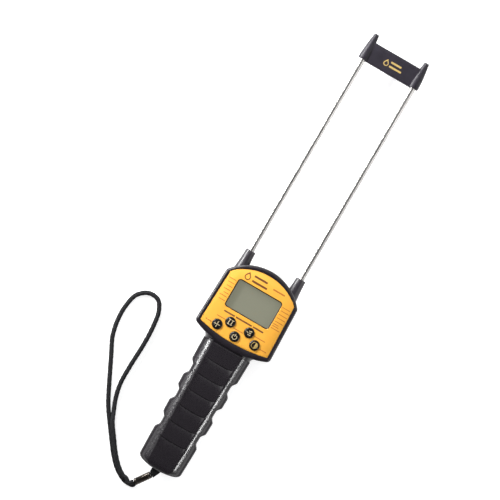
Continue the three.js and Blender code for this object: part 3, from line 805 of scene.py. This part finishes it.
def drill(x, s, radius, z0, z1, sides=48, flare=0.0):
    """A round cutter. flare widens its mouth at z1, which leaves a chamfer on the hole."""
    profile = [(0, z0), (radius, z0), (radius, z1)]
    if flare:
        profile += [(radius + flare, z1 + flare), (radius + flare, z1 + 3)]
    profile.append((0, profile[-1][1]))
    return turned("cutter", profile, along_z(x, s), sides)


def countersink(x, s, radius):
    """A cutter for a screw's counterbore in the back, with a chamfered mouth."""
    profile = [(0, -1), (radius + 0.3, -1), (radius + 0.3, 0), (radius, 0.3), (radius, 4.4), (0, 4.4)]
    return turned("cutter", profile, along_z(x, s), 48)


def grown(form, margin):
    """A rounded opening's outline, larger all round by margin."""
    half, low, high = form["x"] + margin, form["low"] - margin, form["high"] + margin
    return rounded_rectangle(-half, half, low, high, form["corner"] + margin, 10)


def window_cutter(z0, z1, margin, flare):
    outline, mouth = grown(WINDOW, margin), grown(WINDOW, margin + flare)
    rings = [raised(outline, z0), raised(outline, z1), raised(mouth, z1 + flare), raised(mouth, z1 + 4)]
    return loft("cutter", rings)


def two_finishes(shell):
    """The head and neck are smooth; everything on the handle's side of the step is grained."""
    paint(shell, M["shell"], M["grip"])
    border = at(0, GRIP_END + 0.01, 0).y
    for face in shell.data.polygons:
        face.material_index = 1 if face.center.y < border else 0


def probe_cutter(side):
    profile = [(0, 188), (5.1, 188), (5.1, 226), (0, 226)]
    return turned("cutter", profile, along_s(side * PROBE_X), 48)


def make_front_shell():
    shell = join(head_front_form(), grip_form("grip", True), neck_form("neck", True))
    lens_seat = prism("cutter", grown(LENS, GAP), 28, height("window_lens", 1) + GAP)
    window = window_cutter(28, FACE_LOW - 0.5, 0.0, 0.25)
    cut(shell, cavity(), lens_seat, window, probe_cutter(-1), probe_cutter(1))
    cut(shell, *[drill(x, s, KEY_RADIUS + GAP, 28, 40) for x, s in KEYS.values()])
    smooth(shell)
    two_finishes(shell)
    return finish_piece(shell, "case", "shell_plastic", "front_housing")


def make_rear_shell():
    shell = join(head_rear_form(), grip_form("grip", False), neck_form("neck", False))
    cut(shell, cavity())
    boss = [(0, 1), (3.8, 1), (3.8, 16), (0, 16)]
    join(shell, *[turned("boss", boss, along_z(x, s), 32) for x, s in HOUSING_SCREWS])
    low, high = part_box("battery_cover")
    cover_low, cover_high = station(low.y) - GAP, station(high.y) + GAP
    reach = high.x / MM + GAP
    slot = [(-5.2, 9.4), (-5.6, 4), (-7.6, -2), (8.8, -2), (6.3, 4), (5.8, 9.4)]
    cut(shell,
        prism("cutter", rounded_rectangle(-reach, reach, cover_low, cover_high, 1.3), -1, 5),
        prism("cutter", rounded_rectangle(-22.3, 22.3, 159.7, 185.3, 2.3), -1, 0.9),
        prism("cutter", slot, 6, 14),
        drill(0.3, 4, 1.8, 2.4, 20, 32),
        probe_cutter(-1), probe_cutter(1))
    cut(shell, *[countersink(x, s, 3.1) for x, s in HOUSING_SCREWS])
    smooth(shell)
    two_finishes(shell)
    return finish_piece(shell, "case", "shell_plastic", "rear_housing")


make_front_shell()
make_rear_shell()


# ---- face plate and its marks

def make_face():
    edge = 0.16
    rings = [raised(shield(FACE, 0), FACE_LOW), raised(shield(FACE, 0), FACE_TOP - edge),
             raised(shield(FACE, 0.05), FACE_TOP - 0.05), raised(shield(FACE, edge), FACE_TOP)]
    plate = loft("face_plate", rings)
    cut(plate, window_cutter(FACE_LOW - 1, FACE_TOP - 0.2, WINDOW_RIM, 0.2))
    for x, s in KEYS.values():
        cut(plate, drill(x, s, KEY_RADIUS + 0.2, FACE_LOW - 1, FACE_TOP - 0.12, 64, 0.12))
    smooth(plate)
    paint(plate, M["face"])
    return finish_piece(plate, "case", "face_film", "face_overlay")


INK = 0.035


class Ink:
    """Flat marks of one colour, gathered into one mesh of thin raised shapes."""

    def __init__(self, level=FACE_TOP):
        self.level = level
        self.points, self.faces = [], []

    def shape(self, outline):
        start, count = len(self.points), len(outline)
        for z in (self.level - 0.01, self.level + INK):
            self.points += [at(x, s, z) for x, s in outline]
        self.faces.append(tuple(start + i for i in reversed(range(count))))
        self.faces.append(tuple(start + count + i for i in range(count)))
        for i in range(count):
            j = (i + 1) % count
            self.faces.append((start + i, start + j, start + count + j, start + count + i))
        return self

    def bar(self, x0, x1, s0, s1, corner=0.12):
        corner = min(corner, (x1 - x0) / 2.1, (s1 - s0) / 2.1)
        return self.shape(rounded_rectangle(x0, x1, s0, s1, corner, 3))

    def ring(self, x, s, radius, width, start=0.0, end=360.0, steps=40):
        a, b = math.radians(start), math.radians(end)
        outer = arc(x, s, radius, a, b, steps)
        inner = arc(x, s, radius - width, b, a, steps)
        if end - start < 359.9:
            return self.shape(outer + inner)
        for k in range(2):
            near, far = a + math.pi * k, a + math.pi * (k + 1)
            outer = arc(x, s, radius, near, far, steps // 2)
            self.shape(outer + arc(x, s, radius - width, far, near, steps // 2))
        return self

    def disc(self, x, s, radius, steps=32):
        return self.shape(arc(x, s, radius, 0, 2 * math.pi, steps)[:-1])

    def piece(self, name, material, body):
        made = mesh_from(name, self.points, self.faces)
        paint(made, M[material])
        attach(made, body)
        return made


def words(ink, x0, s, tall, *widths, gap=1.3):
    """Plain bars as long as the words of a printed line, in place of its lettering."""
    x = x0
    for width in widths:
        ink.bar(x, x + width, s - tall / 2, s + tall / 2, tall * 0.3)
        x += width + gap
    return ink


def drop(ink, x, s, size, width):
    """A water drop in outline, in two halves."""
    radius = size * 0.36
    belly = s - size * 0.14
    lean = math.radians(32)
    for side in (-1, 1):
        outer = [(x, s + size / 2)]
        inner = [(x, s + size / 2 - 2.2 * width)]
        for i in range(15):
            angle = lean - (lean + math.pi / 2) * i / 14
            for line, r in ((outer, radius), (inner, radius - width)):
                line.append((x + side * r * math.cos(angle), belly + r * math.sin(angle)))
        ink.shape(outer + inner[::-1])


# Station and length of each line beside the window, then x, station and length of each key's label.
LEFT_LIST = ((191.9, 8.2), (188.1, 7.0), (184.3, 6.2), (180.8, 7.4), (177.2, 5.6), (173.9, 8.2), (170.1, 6.8))
RIGHT_LIST = ((192.1, 8.0), (188.6, 9.2), (184.8, 9.0), (181.2, 9.4), (177.5, 8.6), (174.8, 5.6),
              (172.8, 6.6), (170.4, 9.4))
KEY_LABELS = ((-24.9, 155.3, 9.0), (15.9, 155.3, 11.5), (-5.0, 152.2, 10.0), (-32.6, 147.2, 6.4),
              (26.3, 147.2, 7.2))


def make_face_marks():
    dark = Ink()
    drop(dark, -17.7, 201.7, 8.4, 1.0)
    words(dark, -12.4, 204.4, 1.9, 14.2)
    words(dark, -12.4, 199.4, 1.9, 16.2)
    words(dark, -21.2, 162.2, 1.5, 11.6, 17.2, 11.2)
    dark.piece("face_marks_dark", "print_dark", "case")
    light = Ink()
    words(light, 9.0, 202.3, 1.5, 12.6)
    for s, width in LEFT_LIST:
        words(light, -24.9 - width, s, 0.75, width)
    for s, width in RIGHT_LIST:
        words(light, 25.0, s, 0.75, width)
    for x, s, width in KEY_LABELS:
        words(light, x, s, 0.9, width)
    light.piece("face_marks_light", "print_light", "case")


make_face()
make_face_marks()


# ---- keys

KEY_TOP = height("key_power", 1)
CROWN_RADIUS = KEY_RADIUS - 0.85
CROWN_RISE = 0.33


def key_profile():
    """Stem, flange, straight side, rounded shoulder and a slightly domed crown."""
    low, shoulder = height("key_power", 0), KEY_TOP - 0.95
    profile = [(0, low), (2, low), (2, 28.9), (5.6, 28.9), (5.6, 29.8), (KEY_RADIUS, 29.8),
               (KEY_RADIUS, shoulder)]
    for i in range(1, 10):
        turn = i / 10 * math.pi / 2
        profile.append((KEY_RADIUS - 0.85 * (1 - math.cos(turn)), shoulder + 0.62 * math.sin(turn)))
    for i in range(1, 8):
        r = CROWN_RADIUS * (1 - i / 8)
        profile.append((r, KEY_TOP - CROWN_RISE * (r / CROWN_RADIUS) ** 2))
    return profile + [(0, KEY_TOP)]


def settle(piece, centre):
    """Presses a key's flat symbol onto the key's crown."""
    cx, cy = at(*centre, 0).xy
    for vertex in piece.data.vertices:
        off = math.hypot(vertex.co.x - cx, vertex.co.y - cy) / MM
        vertex.co.z -= CROWN_RISE * (off / CROWN_RADIUS) ** 2 * MM


def light_symbol(ink, x, s):
    ink.disc(x, s, 0.75)
    for i in range(4):
        angle = math.pi / 2 * i
        c, n = math.cos(angle), math.sin(angle)
        spoke = [(1.15, -0.42), (3.1, -0.3), (3.1, 0.3), (1.15, 0.42)]
        ink.shape([(x + c * a - n * b, s + n * a + c * b) for a, b in spoke])


def adjust_symbol(ink, x, s):
    for side in (-1, 1):
        cx = x + side * 1.5
        ink.bar(cx - 0.4, cx + 0.4, s - 1.6, s + 1.6, 0.1)
        for end in (-2.3, 2.3):
            ink.bar(cx - 1.2, cx + 1.2, s + end - 0.4, s + end + 0.4, 0.15)


def power_symbol(ink, x, s):
    ink.ring(x, s - 0.2, 2.6, 0.75, 125, 415)
    ink.bar(x - 0.38, x + 0.38, s + 0.2, s + 3.0, 0.15)


def species_symbol(ink, x, s):
    ink.bar(x - 2.7, x - 1.1, s - 0.4, s + 0.4, 0.15)
    ink.bar(x - 0.9, x - 0.2, s - 2.3, s + 2.3, 0.1)
    for row in (-1.9, 0, 1.9):
        ink.bar(x, x + 2.1, s + row - 0.42, s + row + 0.42, 0.15)


def hold_symbol(ink, x, s):
    ink.ring(x, s, 3.1, 0.5, 90, 270)
    bands = 8
    for k in range(bands):
        outer, width = 3.1 * (bands - k) / bands, 3.1 / bands
        ink.ring(x, s, outer, min(width, outer - 0.02), -90, 90, 24)


SYMBOLS = {"light": light_symbol, "adjust": adjust_symbol, "power": power_symbol,
           "species": species_symbol, "hold": hold_symbol}


def make_keys():
    profile = key_profile()
    for name, centre in KEYS.items():
        body = f"{name}_key"
        cap = smooth(turned(f"cap_{name}", profile, along_z(*centre)), 35)
        paint(cap, M["key"])
        finish_piece(cap, body, "key_gloss", f"key_{name}")
        ink = Ink(KEY_TOP + 0.04)
        SYMBOLS[name](ink, *centre)
        symbol = ink.piece(f"symbol_{name}", "gold" if name == "hold" else "cream", body)
        settle(symbol, centre)


make_keys()


# ---- probes, sleeves and tip guard

def make_rods():
    for side, hand in ((-1, "left"), (1, "right")):
        low, high = (station(corner.y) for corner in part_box(f"probe_rod_{hand}"))
        r = PROBE_RADIUS
        profile = [(0, high - 3), (2, high - 3), (2, low), (r - 0.2, low), (r, low + 0.2),
                   (r, high - 0.5), (r - 0.5, high), (0, high)]
        rod = smooth(turned(f"rod_{hand}", profile, along_s(side * PROBE_X)))
        paint(rod, M["steel"])
        finish_piece(rod, "case", "probe_steel", f"probe_rod_{hand}")


def make_sleeves():
    for side, hand in ((-1, "left"), (1, "right")):
        tip = station(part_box(f"probe_sleeve_{hand}")[1].y)
        bore = PROBE_RADIUS + 0.12
        profile = [(bore, 190), (4.9, 190), (4.9, 199), (6.25, 200), (6.3, 202.7), (6.0, 206.5), (5.65, 211),
                   (5.27, 216.5), (4.96, tip - 1.0), (4.85, tip - 0.45), (4.5, tip - 0.1), (3.8, tip),
                   (3.45, tip - 0.12), (bore, tip - 0.5), (bore, 190)]
        sleeve = smooth(turned(f"sleeve_{hand}", profile, along_s(side * PROBE_X)), 40)
        paint(sleeve, M["gloss"])
        finish_piece(sleeve, "case", "shell_plastic", f"probe_sleeve_{hand}")


BAR_LOW, BAR_HIGH = 431.9, 452.2
BAR_BACK, BAR_FRONT = 13.8, 20.2


def guard_ear(side):
    tip = station(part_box("tip_guard")[1].y)
    profile = [(0, 432.6), (4.65, 432.6), (4.9, 432.85), (5.05, 434), (4.9, 438.2), (4.64, 442.6),
               (4.15, 447.2), (3.5, 452.2), (2.98, 455.6), (2.66, 458.2), (2.52, tip - 0.8),
               (2.3, tip - 0.3), (1.85, tip - 0.05), (0, tip)]
    return turned("ear", profile, along_s(side * PROBE_X), 64)


def make_guard():
    """A flat bar between two tapered ears, with the probes' ends in its sockets."""
    reach = PROBE_X - 2

    def ring(inset, z):
        low, high = BAR_LOW + inset, BAR_HIGH - inset
        return [(-reach, low, z), (reach, low, z), (reach, high, z), (-reach, high, z)]

    edge = [(1.3, 0), (0.75, 0.12), (0.3, 0.45), (0, 1.1)]
    rings = [ring(i, BAR_BACK + h) for i, h in edge]
    rings += [ring(i, BAR_FRONT - h) for i, h in reversed(edge)]
    guard = join(loft("tip_guard_body", rings), guard_ear(-1), guard_ear(1))
    bore = PROBE_RADIUS + 0.15
    socket = [(0, 430), (bore, 430), (bore, 446.3), (0, 446.3)]
    for side in (-1, 1):
        cut(guard, turned("cutter", socket, along_s(side * PROBE_X), 48))
    smooth(guard, 28)
    paint(guard, M["guard"])
    finish_piece(guard, "case", "shell_plastic", "tip_guard")
    marks = Ink(BAR_FRONT)
    drop(marks, -6.4, 441.3, 7.0, 0.85)
    words(marks, -2.6, 443.6, 1.8, 11.0)
    words(marks, -2.6, 439.4, 1.8, 13.0)
    marks.piece("guard_marks", "gold", "case")


make_rods()
make_sleeves()
make_guard()


# ---- battery bay and back

def make_batteries():
    cell = 43.5
    profile = [(0, 0), (3.6, 0), (3.9, 0.25), (4.8, 0.25), (5.1, 0.45), (5.25, 0.9), (5.25, cell - 0.9),
               (5.1, cell - 0.35), (4.7, cell - 0.1), (4.4, cell - 0.3), (2.2, cell - 0.3), (1.9, cell),
               (1.9, cell + 0.8), (1.7, cell + 1), (0, cell + 1)]
    band_start, end_radius = 34, 4.9
    for i, plus_up in ((1, True), (2, True), (3, False), (4, False)):
        low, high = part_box(f"battery_{i}")
        x, z = (low.x + high.x) / 2 / MM, (low.z + high.z) / 2 / MM
        s0, s1 = station(low.y), station(high.y)
        minus, way = (s0, 1) if plus_up else (s1, -1)
        place = lambda u, v, h: at(x + u, minus + way * h, z + v)
        battery = smooth(turned(f"cell_{i}", profile, place, 48), 35)
        paint(battery, M["sleeve"], M["band"], M["contact"])
        for face in battery.data.polygons:
            off = math.hypot(face.center.x - x * MM, face.center.z - z * MM) / MM
            along = station(face.center.y) - s0
            along = along if plus_up else (s1 - s0) - along
            face.material_index = 2 if off < end_radius else (1 if along > band_start else 0)
        finish_piece(battery, "case", "battery_sleeve", f"battery_{i}")


def make_cover():
    low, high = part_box("battery_cover")
    x0, x1 = low.x / MM, high.x / MM
    s0, s1 = station(low.y), station(high.y)
    z0, z1 = low.z / MM, high.z / MM
    edge = [(0.45, 0), (0.12, 0.12), (0, 0.45)]
    rings = [raised(rounded_rectangle(x0 + i, x1 - i, s0 + i, s1 - i, 1.2 - i / 2), z0 + h) for i, h in edge]
    rings.append(raised(rounded_rectangle(x0, x1, s0, s1, 1.2), z1))
    cover = loft("battery_door", rings)
    for k in range(5):
        s = s0 + 4 + 2.4 * k
        half = 7.5 - 0.9 * abs(k - 2)
        rib = []
        for g, z in ((0.35, z0 - 0.5), (0.35, z0 - 0.01), (0.0, z0 + 0.6)):
            rib.append(raised(rounded_rectangle(-half - g, half + g, s - 0.45 - g, s + 0.45 + g, 0.4 + g), z))
        cut(cover, loft("cutter", rib))
    smooth(cover)
    paint(cover, M["grip"])
    return finish_piece(cover, "battery_cover", "cover_plastic", "battery_cover")


def recess(x, s, w, d):
    """One slot of a screw's cross recess, narrower as it goes in."""
    rings = []
    for k, z in ((1.0, 1), (1.0, 2), (0.55, 3.3)):
        rings.append([(x + w * k * u, s + d * k * v, z) for u, v in ((-1, -1), (1, -1), (1, 1), (-1, 1))])
    return loft("cutter", rings)


def make_screws():
    """Pan heads with a cross recess, deep in the back of the shell."""
    profile = [(0, 2), (1.9, 2), (2.4, 2.2), (2.7, 2.6), (2.8, 3.1), (2.8, 4), (1.3, 4.3), (1.3, 23), (0, 24)]
    for i, (x, s) in enumerate(HOUSING_SCREWS):
        screw = turned(f"case_screw_{i + 1}", profile, along_z(x, s), 40)
        cut(screw, recess(x, s, 1.5, 0.32), recess(x, s, 0.32, 1.5))
        smooth(screw, 35)
        paint(screw, M["plated"])
        finish_piece(screw, "case", "screw_steel", f"housing_screw_{i + 1}")


def make_label():
    z0, z1 = height("back_label", 0), height("back_label", 1)
    rings = []
    for g, z in ((0.1, z0), (0.0, z0 + 0.08), (0.0, z1)):
        rings.append(raised(rounded_rectangle(-22 + g, 22 - g, 160 + g, 185 - g, 2 - g), z))
    plate = smooth(loft("rating_plate", rings))
    paint(plate, M["label"])
    finish_piece(plate, "case", "label_grey", "back_label")
    marks = Ink(z0 - INK)
    marks.bar(-20.5, 20.5, 183.0, 183.3)
    marks.bar(-20.5, 20.5, 161.7, 162.0)
    for row, widths in enumerate(((16, 7), (9, 12, 5), (20,), (8, 11))):
        words(marks, -19, 179.4 - 4.4 * row, 1.1, *widths, gap=2)
    marks.piece("rating_plate_marks", "label_ink", "case")


make_batteries()
make_cover()
make_screws()
make_label()


# ---- finishes of the CAD nodes that stay

KEPT = {
    "window_lens": "lens", "display_glass": "display", "display_frame": "inner",
    "display_connector": "rubber",
    "main_board": "board", "controller_chip": "inner", "battery_tray": "inner", "strap_pin": "plated",
    "contact_bridge": "contact", "contact_plate_positive": "contact", "contact_plate_negative": "contact",
    "contact_spring_bridge": "contact", "contact_spring_terminal": "contact",
    "battery_wire_red": "wire_red", "battery_wire_black": "wire_black",
    "sensor_wire_left": "wire_black", "sensor_wire_right": "wire_black",
}
for hand in ("left", "right"):
    KEPT[f"probe_nut_{hand}"] = "brass"
    KEPT[f"probe_lug_{hand}"] = "brass"
for key in KEYS:
    KEPT[f"switch_{key}"] = "plated"
for number in range(1, 5):
    KEPT[f"board_screw_{number}"] = "plated"
for node, material in KEPT.items():
    paint(NODES[node], M[material])


# ---- studio

def make_floor():
    size, z = 6.0, -0.0003
    corners = [(-size, -size, z), (size, -size, z), (size, size, z), (-size, size, z)]
    floor = mesh_from("floor", corners, [(0, 1, 2, 3)])
    shader = Shader("floor_white", (0.50, 0.50, 0.50), 0.8)
    shader.vary_color(shader.noise(300.0), (0.495, 0.495, 0.495), (0.505, 0.505, 0.505))
    shader.set(Emission_Color=(1, 1, 1, 1), Emission_Strength=0.75)
    paint(floor, shader.material)


def soft_box(name, place, target, width, length, radiance, upright="X"):
    """A softbox that faces target. Its length runs along the instrument where upright is X."""
    data = bpy.data.lights.new(name, "AREA")
    data.shape = "RECTANGLE"
    data.size, data.size_y = width, length
    data.energy = radiance * math.pi * width * length
    lamp = bpy.data.objects.new(name, data)
    bpy.context.scene.collection.objects.link(lamp)
    lamp.location = place
    lamp.rotation_euler = (Vector(target) - Vector(place)).to_track_quat("-Z", upright).to_euler()
    lamp.visible_camera = False


def side_box(name, lean, distance, width, length, radiance, shift=0.0):
    """A long softbox beside the instrument, lean degrees from straight overhead, to the right if positive."""
    angle = math.radians(lean)
    place = (distance * math.sin(angle), shift, distance * math.cos(angle))
    soft_box(name, place, (0, shift, 0), width, length, radiance)


def make_world():
    """Pale at the horizon and dim overhead, so that glossy black parts stay dark from above."""
    world = bpy.data.worlds.new("studio")
    bpy.context.scene.world = world
    world.use_nodes = True
    tree = world.node_tree
    background = tree.nodes["Background"]
    place = tree.nodes.new("ShaderNodeTexCoord")
    split = tree.nodes.new("ShaderNodeSeparateXYZ")
    ramp = tree.nodes.new("ShaderNodeValToRGB")
    tree.links.new(place.outputs["Generated"], split.inputs["Vector"])
    tree.links.new(split.outputs["Z"], ramp.inputs["Fac"])
    tree.links.new(ramp.outputs["Color"], background.inputs["Color"])
    first, last = ramp.color_ramp.elements
    first.position, first.color = 0.0, (0.32, 0.32, 0.32, 1)
    last.position, last.color = 0.85, (0.06, 0.06, 0.062, 1)
    middle = ramp.color_ramp.elements.new(0.55)
    middle.color = (0.26, 0.26, 0.27, 1)
    background.inputs["Strength"].default_value = 1.0


make_floor()
make_world()
side_box("right_box", 60, 1.4, 0.75, 1.9, 2.5, shift=1.0)
side_box("left_strip", -64, 0.6, 0.075, 0.9, 84, shift=0.33)
side_box("right_strip", 56, 0.6, 0.075, 0.12, 39, shift=-0.215)
soft_box("key_box", (0, 1.0, 1.1), (0, -0.1, 0), 1.6, 1.0, 1.6, "Y")
soft_box("top_box", (-0.7, 0.52, 1.5), (-0.7, 0.52, 0), 0.8, 2.2, 0.9)
bpy.context.scene.view_settings.view_transform = "Standard"
